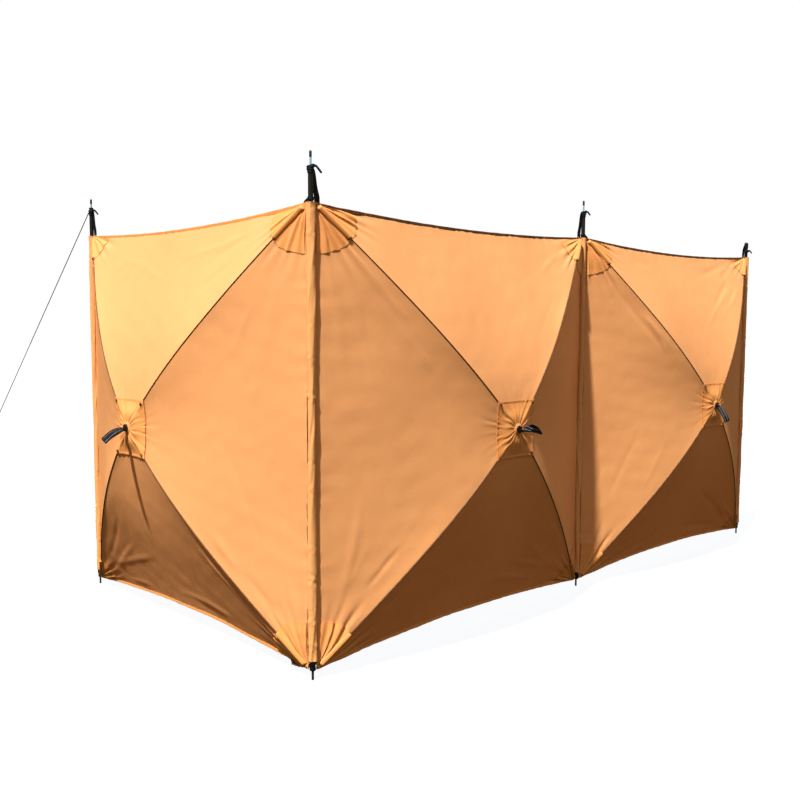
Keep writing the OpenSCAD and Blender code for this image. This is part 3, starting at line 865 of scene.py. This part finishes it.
def upright_strip(parts, low, high, path, thick, to_row):
    """A thin strip of cloth that stands from low to high over a level path of x and y."""
    path = curve_through([(x, y, 0) for x, y in path], 21)
    ahead = np.gradient(path, axis=0)
    ahead /= np.linalg.norm(ahead, axis=1, keepdims=True)
    side = np.stack([-ahead[:, 1], ahead[:, 0], 0 * ahead[:, 2]], -1)
    z = np.linspace(low, high, 120)[:, None]
    ripple = 0.0005 * waves(z, path[None, :, 0] * 30, 7, 0.05)
    grid = np.broadcast_to(path[None], (len(z), *path.shape)).copy()
    grid[..., 2] = z
    grid = grid + ripple[..., None] * side[None]
    parts.add(*shell_parts(to_row(grid), to_row(grid + thick * side[None])))


def make_sleeve_flange(n):
    """The sleeve's seam allowance, sewn to the back of its own bay's cloth."""
    parts = Parts()
    upright_strip(parts, SLEEVE_FOOT + 0.004, CLOTH_TOP - 0.006,
                  [(0.0130, 0.0016), (0.020, 0.0016), (SEWN_EDGE + 0.012, 0.0016)], 0.0007,
                  lambda points: place_pole(n, points))
    ob = parts.make(f"pole_{n}_sleeve_seam", DOUBLED)
    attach(ob, POLE_BODY[n])
    return ob


def make_edge_flap(bay):
    """The flap of an end bay's cloth that closes the gap behind its neighbour's sleeve, in the dark binding cloth as
    painted shade of that deep gap.
    """
    parts = Parts()
    base_x, way = (BAY_W, -1) if bay == 1 else (0.0, 1)
    turns = np.linspace(0.16, FLAP_TURN, 9)
    path = [(TURNING_EDGE + 0.012, 0.0016), (TURNING_EDGE + 0.001, 0.0018)]
    path += [(FLAP_R * math.cos(a), FLAP_R * math.sin(a)) for a in turns]
    upright_strip(parts, GROUND_GAP + TAB_L + 0.004, CLOTH_TOP - 0.014, path, 0.0007,
                  lambda points: place(bay, points * np.array((way, 1, 1)) + np.array((base_x, 0, 0))))
    # The dark binding cloth is painted shade of the gap beside the sleeve.
    ob = parts.make(f"bay_{bay}_edge_flap", BINDING)
    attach(ob, BODY[bay])
    return ob


def make_foot_tab():
    """The tab of doubled cloth that shows below the left bay's hem, beside the corner pole."""
    start, length, depth = TURNING_EDGE + 0.006, 0.092, 0.017
    t = np.linspace(0, 1, 31)[None, :]
    v = np.linspace(0, 1, 13)[:, None]
    x = BAY_W - start - length * (t - 0.05 * v)
    hem = HUB_Z - HALF_H + BOTTOM_RISE * across((x - EDGES[1][0]) / (BAY_W - EDGES[1][0] - EDGES[1][1]))
    z = hem + 0.008 - v * (0.008 + depth * smooth(t, 0.0, 0.95))
    y = cloth_y(1, x, np.maximum(z, GROUND_GAP + 0.002)) - 0.0034 - 0.0022 * v * np.sin(26 * t)
    outer = place(1, np.stack([x, y - 0.0012, z], -1))
    inner = place(1, np.stack([x, y, z], -1))
    ob = mesh_object("bay_1_foot_tab", *shell_parts(outer, inner), BINDING)
    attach(ob, BODY[1])
    return ob


# ---------------------------------------------------------------- rods and hub
def make_rods(bay):
    rods, tips = Parts(), Parts()
    for sx, sz in CORNERS:
        edge = EDGES[bay][0 if sx < 0 else 1]
        wide = HALF_W - edge
        span = math.hypot(wide, HALF_H)

        def point(x):
            q = x / span
            lean = math.atan(HUB_REACH * (6 * q - 3 * q * q) / 2 / span)
            reach = x - ROD_SET * math.sin(lean)
            return (HALF_W + sx * reach * wide / span, ROD_SET * math.cos(lean) - float(bow_reach(q)),
                    HUB_Z + sz * reach * HALF_H / span)

        path = [point(x) for x in np.linspace(ROD_START, span - ROD_STOP, 60)]
        rods.add(*tube_parts(place(bay, path), ROD_R, 16))
        cap = [point(x) for x in np.linspace(span - ROD_STOP - 0.030, span - ROD_STOP + 0.002, 6)]
        tips.add(*tube_parts(*round_ends(place(bay, cap), ROD_R + 0.0010), 16))
    ob = rods.make(f"bay_{bay}_bowed_rods", GLASS_FIBRE)
    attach(ob, BODY[bay])
    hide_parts(f"bay_{bay}_rods")
    tip = tips.make(f"bay_{bay}_rod_tips", RUBBER)
    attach(tip, BODY[bay])
    return ob


def make_strap(bay):
    """The pull strap: a tail in the knob's slot, a neck and a flattened loop of webbing."""
    knob_face = PLATE_FRONT + KNOB_L
    bend = np.array((HALF_W, -(knob_face + 0.003), HUB_Z))
    droop = math.radians(STRAP_DROOP[bay])
    out = np.array((0, -math.cos(droop), -math.sin(droop)))
    over = np.array((0, math.sin(droop) * -1, math.cos(droop)))
    level = np.array((1.0, 0, 0))
    t = np.linspace(0, math.tau, 97)[:-1]
    along = STRAP_NECK + STRAP_L * (0.5 - 0.5 * np.cos(t))
    height = {1: 0.0062, 2: 0.0085, 3: 0.0068}[bay]
    rise = height * np.sin(t) * (0.62 + 0.38 * smooth(along, STRAP_NECK, STRAP_NECK + 0.6 * STRAP_L))
    turn_from, turn_to = {1: (-0.5, -1.0), 2: (0.5, 2.3), 3: (0.5, 1.2)}[bay]
    twist = turn_from + (turn_to - turn_from) * smooth(along, STRAP_NECK, STRAP_NECK + STRAP_L * 0.7)
    curl = {1: 0.006, 2: 0.010, 3: 0.005}[bay] * np.sin((along - STRAP_NECK) / STRAP_L * math.pi)
    wide = np.cos(twist)[:, None] * level + np.sin(twist)[:, None] * over
    lift = -np.sin(twist)[:, None] * level + np.cos(twist)[:, None] * over
    path = bend + along[:, None] * out + rise[:, None] * lift + curl[:, None] * over
    parts = Parts()
    parts.add(*sweep_parts(place(bay, path), place(bay, wide) - place(bay, np.zeros(3)), STRAP_W, WEB_T, closed=True))
    # the neck, two layers sewn together, which narrows into the knob's slot
    steps = np.linspace(0, 1, 13)
    inside = knob_face - KNOB_L + 0.002
    neck_line = [np.array((HALF_W, -inside, HUB_Z)), np.array((HALF_W, -knob_face, HUB_Z)), bend,
                 bend + out * STRAP_NECK, bend + out * (STRAP_NECK + 0.006)]
    neck = curve_through(neck_line, 26)
    reach = np.linspace(0, 1, 26)
    width = 0.0176 + (STRAP_W - 0.0176) * smooth(reach, 0.42, 0.8)
    parts.add(*sweep_parts(place(bay, neck), place(bay, level) - place(bay, np.zeros(3)), width, 0.0041))
    # Stitch lines in light grey thread along both faces of the loop; they also paint the highlight lines along the
    # webbing.
    stitch_and_highlight_lines = Parts()
    row = np.linspace(0.06, 0.46, 30)
    share = np.interp(row * math.tau, t, np.arange(len(t)))
    for side in (-0.26, 0.26):
        for face, turn in ((1, share), (-1, len(t) - share)):
            whole = np.minimum(turn.astype(int), len(t) - 1)
            line = path[whole] + wide[whole] * STRAP_W * side + lift[whole] * face * (WEB_T / 2 + 0.0002)
            stitch_and_highlight_lines.add(*tube_parts(place(bay, line), 0.0007, 6))
    thread = stitch_and_highlight_lines.make(f"bay_{bay}_strap_stitching_and_highlights", STITCH_AND_HIGHLIGHT_THREAD)
    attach(thread, BODY[bay])
    ob = parts.make(f"bay_{bay}_webbing_strap", WEBBING)
    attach(ob, BODY[bay])
    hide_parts(f"bay_{bay}_pull_strap")
    return ob


# ---------------------------------------------------------------- webbing at the poles
TAB_Y = (CLOTH_T + 0.001) / 2 + 0.0003
RING_R = POLE_R + 0.0003 + WEB_T
HEAD_LOOP_LOW = CLOTH_TOP + 0.006
TIE_FOOT = HEAD_LOOP_LOW + LOOP_W + 0.006
FOOT_LOOP_LOW = GROUND_GAP + 0.002
FOOT_TIE_LOW = FOOT_LOOP_LOW + LOOP_W + 0.006
TAB_L = 0.040


def ring_parts(middle, width):
    a = np.linspace(0, math.tau, 41)[:-1]
    r = RING_R - WEB_T / 2
    path = np.stack([r * np.cos(a), r * np.sin(a), middle + 0 * a], -1)
    return path, np.array((0, 0, 1.0))


def strap_run(points, width_hint, cells=34):
    """A smooth run of strap in the plane behind the cloth's corner, with its width direction."""
    path = curve_through([(x, TAB_Y + WEB_T / 2, z) for x, z in points], cells)
    ahead = np.gradient(path, axis=0)
    ahead /= np.linalg.norm(ahead, axis=1, keepdims=True)
    return path, np.cross(ahead, np.array((0, 1.0, 0)))


def add_pole_pieces(parts, n, pieces):
    for path, wide, width, thick, closed in pieces:
        base = place_pole(n, np.zeros(3))
        wide = np.broadcast_to(np.asarray(wide, float), np.shape(path))
        parts.add(*sweep_parts(place_pole(n, path), place_pole(n, wide) - base, width, thick, closed=closed))


def make_ties(n):
    parts = Parts()
    head_low = POLE_TOP[n] - TIE_W - 0.002
    head_ring = ring_parts(head_low + TIE_W / 2, TIE_W)
    foot_ring = ring_parts(FOOT_TIE_LOW + LOOP_W / 2, LOOP_W)
    edge = SEWN_EDGE
    slant = strap_run([(0.004, head_low + TIE_W * 0.62), (RING_R + 0.004, head_low + TIE_W * 0.30),
                       (edge + 0.005, TIE_FOOT + 0.028), (edge + TIE_W / 2, TIE_FOOT - 0.006),
                       (edge + TIE_W / 2, CLOTH_TOP - 0.010), (edge + TIE_W / 2, CLOTH_TOP - TAB_L)], None, 44)
    foot = strap_run([(0.004, FOOT_TIE_LOW + LOOP_W / 2), (edge, FOOT_TIE_LOW + LOOP_W / 2),
                      (edge + TIE_W / 2, FOOT_TIE_LOW + LOOP_W + 0.012),
                      (edge + TIE_W / 2, FOOT_TIE_LOW + LOOP_W + TAB_L)], None)
    slant_w = TIE_W * (0.62 + 0.38 * smooth(np.linspace(0, 1, 44), 0.15, 0.6))
    foot_w = LOOP_W + (TIE_W - LOOP_W) * smooth(np.linspace(0, 1, 34), 0.25, 0.7)
    add_pole_pieces(parts, n, [(*head_ring, TIE_W, WEB_T, True), (*foot_ring, LOOP_W, WEB_T, True),
                               (*slant, slant_w, WEB_T, False), (*foot, foot_w, WEB_T, False)])
    ob = parts.make(f"pole_{n}_webbing_ties", WEBBING)
    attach(ob, POLE_BODY[n])
    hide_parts(f"ties_{n}")
    return ob


def make_hinge_loops(bay):
    """The narrow loops on which an end bay turns round its neighbour's pole."""
    parts = Parts()
    n = 2 if bay == 1 else 3
    base_x = BAY_W if bay == 1 else 0.0
    flip = -1 if bay == 1 else 1
    edge = TURNING_EDGE
    rings = [ring_parts(HEAD_LOOP_LOW + LOOP_W / 2, LOOP_W), ring_parts(FOOT_LOOP_LOW + LOOP_W / 2, LOOP_W)]
    head = strap_run([(0.004, HEAD_LOOP_LOW + LOOP_W / 2), (edge * 0.8, HEAD_LOOP_LOW + LOOP_W / 2),
                      (edge + TIE_W / 2, HEAD_LOOP_LOW - 0.012), (edge + TIE_W / 2, CLOTH_TOP - TAB_L)], None)
    foot = strap_run([(0.004, FOOT_LOOP_LOW + LOOP_W / 2), (edge * 0.8, FOOT_LOOP_LOW + LOOP_W / 2),
                      (edge + TIE_W / 2, FOOT_LOOP_LOW + LOOP_W + 0.012),
                      (edge + TIE_W / 2, FOOT_LOOP_LOW + LOOP_W + TAB_L)], None)
    width = LOOP_W + (TIE_W - LOOP_W) * smooth(np.linspace(0, 1, 34), 0.3, 0.75)

    def put(points):
        points = np.array(points, float)
        points[..., 0] = base_x + flip * points[..., 0]
        return place(bay, points)

    for path, wide, w, closed in [(*rings[0], LOOP_W, True), (*rings[1], LOOP_W, True),
                                  (*head, width, False), (*foot, width, False)]:
        wide = np.broadcast_to(np.asarray(wide, float), np.shape(path))
        parts.add(*sweep_parts(put(path), put(wide) - put(np.zeros(3)), w, WEB_T, closed=closed))
    ob = parts.make(f"bay_{bay}_turning_loops", WEBBING)
    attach(ob, BODY[bay])
    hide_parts(f"bay_{bay}_hinge_loops")
    return ob


FLAP_R = 0.0213
FLAP_TURN = 1.15  # radians round the pole
VIEW_RIGHT = np.array((0.711, -0.703, 0.0))  # the way the loose ends of the knots point


def make_head_knot(n):
    """The cord tied round a pole's head with its loose ends, and the black tip of the pin or the pole's cap."""
    at = np.array(POLE_AT[n])
    at[2] = 0
    pinned = PIN_TOP[n] > POLE_TOP[n]
    top = POLE_TOP[n] - (0 if pinned else 0.036)  # the end pole's knot sits below its tie
    parts = Parts()
    a = np.linspace(0, math.tau * 2.3, 80)
    r = (0.0115 if pinned else 0.0135) + 0.0008 * np.sin(3 * a)
    z = top - 0.0155 + 0.0054 * a / math.tau
    path = np.stack([r * np.cos(a + n), r * np.sin(a + n), z], -1) + at
    parts.add(*tube_parts(*round_ends(path, 0.0024), 10))
    knot_at = at + VIEW_RIGHT * 0.008 + np.array((-0.004, -0.004, top - 0.004))
    if not pinned:
        knot_at = knot_at + np.array((-0.006, -0.006, -0.006))
    loop = np.linspace(0, math.tau, 25)[:-1]
    for tilt in (0.5, -0.7):
        ring = np.stack([0.0064 * np.cos(loop), 0.0064 * np.sin(loop) * math.cos(tilt),
                         0.0064 * np.sin(loop) * math.sin(tilt) + 0.001], -1) + knot_at
        parts.add(*tube_parts(ring, 0.0031, 9, closed=True))
    tail_l = {1: 0.020, 2: 0.026, 3: 0.016, 4: 0.014}[n]
    for way in ((1,) if pinned else (1, -1)):
        lift, reach = (0.002, 0.010) if way > 0 else (-0.003, 0.016)
        tail = curve_through([knot_at, knot_at + way * VIEW_RIGHT * reach + np.array((0, 0, lift)),
                              knot_at + way * VIEW_RIGHT * (reach + tail_l * 0.45) + np.array((0, 0, -tail_l * 0.4)),
                              knot_at + way * VIEW_RIGHT * (reach + tail_l * 0.75) + np.array((0, 0, -tail_l * 0.8))],
                             24)
        parts.add(*tube_parts(*round_ends(tail, 0.0040), 10))
    ob = parts.make(f"pole_{n}_head_knot", CORD, 1.2)
    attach(ob, POLE_BODY[n])
    if pinned:
        tip_path, tip_r = round_ends([at + np.array((0, 0, PIN_TOP[n] - 0.019 + d)) for d in (0, 0.005, 0.010, 0.0162)],
                                     0.0048)
        tip = Parts().add(*tube_parts(tip_path, tip_r, 20)).make(f"pole_{n}_pin_tip", RUBBER, 1.2)
    else:
        heights = (-0.0015, 0.0, 0.004, 0.007, 0.0082)
        cap_path = [at + np.array((0, 0, POLE_TOP[n] + d)) for d in heights]
        tip = Parts().add(*tube_parts(cap_path, np.array((0.0112, 0.0112, 0.0100, 0.0080, 0.0045)), 28)).make(
            f"pole_{n}_end_cap", RUBBER, 0.7)
    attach(tip, POLE_BODY[n])
    return ob


# ---------------------------------------------------------------- building
for bay in (1, 2, 3):
    panels = {panel: make_panel(bay, panel) for panel in range(4)}
    patch, fans, seams = make_hub_patch(bay), make_fans(bay), make_seams(bay)
    tape, pocket = make_pockets(bay)
    top_hem, bottom_hem = make_hem(bay, TOP), make_hem(bay, BOTTOM)
    make_rods(bay)
    make_strap(bay)
make_foot_tab()
for bay in (1, 3):
    make_hinge_loops(bay)
    make_edge_flap(bay)
for n in (1, 2, 3, 4):
    sleeve = make_sleeve(n)
    make_sleeve_flange(n)
    make_ties(n)
    make_head_knot(n)

# CAD nodes that stay, with their materials
KEPT = {"pole": POWDER, "pins": STEEL, "hub": MOULDED, "guy_line": CORD, "guy_runner": MOULDED, "guy_peg": STEEL}
for name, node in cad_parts.items():
    if node.hide_render:
        continue
    key = name if name in KEPT else name.rsplit("_", 1)[0 if name[-1].isdigit() else 1]
    node.data.materials.clear()
    node.data.materials.append(KEPT[key])
    node.data.polygons.foreach_set("use_smooth", np.ones(len(node.data.polygons), bool))
    node.data.set_sharp_from_angle(angle=0.6)
    if key in ("hub", "guy_runner"):
        bevel = node.modifiers.new("soft_edges", "BEVEL")
        bevel.width = 0.0009
        bevel.segments = 2
        bevel.limit_method = "ANGLE"
        bevel.angle_limit = 0.7

# ---------------------------------------------------------------- floor, light and camera
def floor_material():
    """A pale studio floor that keeps shadows light."""
    n = Nodes("floor")
    speckle = n.noise(n.coords, 3.0, 5.0)
    colour = n.ramp(speckle, (0.3, (0.045, 0.045, 0.045)), (0.7, (0.055, 0.055, 0.055)))
    body = n.principled(Base_Color=colour, Roughness=0.9, Specular_IOR_Level=0.1,
                        Emission_Color=(0.97, 0.98, 1.0), Emission_Strength=0.955)
    return n.finish(body.outputs[0])


FLOOR_R = 60.0
turns = np.linspace(0, math.tau, 97)[:-1]
ring = np.stack([FLOOR_R * np.cos(turns) + BAY_W, FLOOR_R * np.sin(turns) + BAY_W, 0 * turns - 0.0005], -1)
floor_mesh = bpy.data.meshes.new("floor")
floor_mesh.from_pydata(ring.tolist(), [], [list(range(len(ring)))])
floor_mesh.materials.append(floor_material())
floor = bpy.data.objects.new("floor", floor_mesh)
bpy.context.scene.collection.objects.link(floor)
floor.visible_diffuse = False
floor.visible_transmission = False
floor.visible_glossy = False


def studio_world():
    """Soft light from above that fades towards the ground, behind a white backdrop."""
    world = bpy.data.worlds.new("studio")
    world.use_nodes = True
    tree = world.node_tree
    coords = tree.nodes.new("ShaderNodeTexCoord")
    axes = tree.nodes.new("ShaderNodeSeparateXYZ")
    tree.links.new(coords.outputs["Generated"], axes.inputs[0])
    height = tree.nodes.new("ShaderNodeMapRange")
    height.inputs["From Min"].default_value = -1.0
    tree.links.new(axes.outputs[2], height.inputs["Value"])
    ramp = tree.nodes.new("ShaderNodeValToRGB")
    for element, (at, level) in zip((*ramp.color_ramp.elements, ramp.color_ramp.elements.new(0.5)),
                                    ((0.30, SKY_LOW), (0.95, SKY_HIGH), (0.52, SKY_LEVEL))):
        element.position = at
        element.color = (*level, 1)
    tree.links.new(height.outputs["Result"], ramp.inputs["Fac"])
    light = tree.nodes["Background"]
    tree.links.new(ramp.outputs["Color"], light.inputs["Color"])
    backdrop = tree.nodes.new("ShaderNodeBackground")
    backdrop.inputs["Color"].default_value = (1.0, 1.0, 1.0, 1)
    path = tree.nodes.new("ShaderNodeLightPath")
    mix = tree.nodes.new("ShaderNodeMixShader")
    tree.links.new(path.outputs["Is Camera Ray"], mix.inputs[0])
    tree.links.new(light.outputs[0], mix.inputs[1])
    tree.links.new(backdrop.outputs[0], mix.inputs[2])
    tree.links.new(mix.outputs[0], tree.nodes["World Output"].inputs["Surface"])
    bpy.context.scene.world = world


SKY_LOW = (0.060, 0.044, 0.015)
SKY_LEVEL = (0.212, 0.168, 0.076)
SKY_HIGH = (0.46, 0.43, 0.38)
studio_world()


def sun(name, travel, strength, colour, spread):
    light = bpy.data.lights.new(name, "SUN")
    light.energy = strength
    light.color = colour
    light.angle = math.radians(spread)
    ob = bpy.data.objects.new(name, light)
    bpy.context.scene.collection.objects.link(ob)
    ob.rotation_mode = "QUATERNION"
    ob.rotation_quaternion = Vector(travel).to_track_quat("-Z", "Y")
    return ob


sun("key", (0.483, 0.122, -0.867), 9.0, (1.0, 0.985, 0.97), 2.0)

bpy.context.scene.view_settings.view_transform = "Standard"

CAMERA_AT = Vector((-1.974, -2.447, 1.296))
CAMERA_TURN = math.radians(44.69)  # from +Y towards +X
CAMERA_DOWN = math.radians(4.75)
CAMERA_ROLL = math.radians(-0.22)
lens = bpy.data.cameras.new("camera")
lens.sensor_width = 36.0
lens.lens = 39.35
camera = bpy.data.objects.new("camera", lens)
bpy.context.scene.collection.objects.link(camera)
camera.location = CAMERA_AT
ahead = Vector((math.sin(CAMERA_TURN) * math.cos(CAMERA_DOWN), math.cos(CAMERA_TURN) * math.cos(CAMERA_DOWN),
                -math.sin(CAMERA_DOWN)))
camera.rotation_mode = "QUATERNION"
camera.rotation_quaternion = (Matrix.Rotation(CAMERA_ROLL, 4, ahead)
                              @ ahead.to_track_quat("-Z", "Y").to_matrix().to_4x4()).to_quaternion()
bpy.context.scene.camera = camera
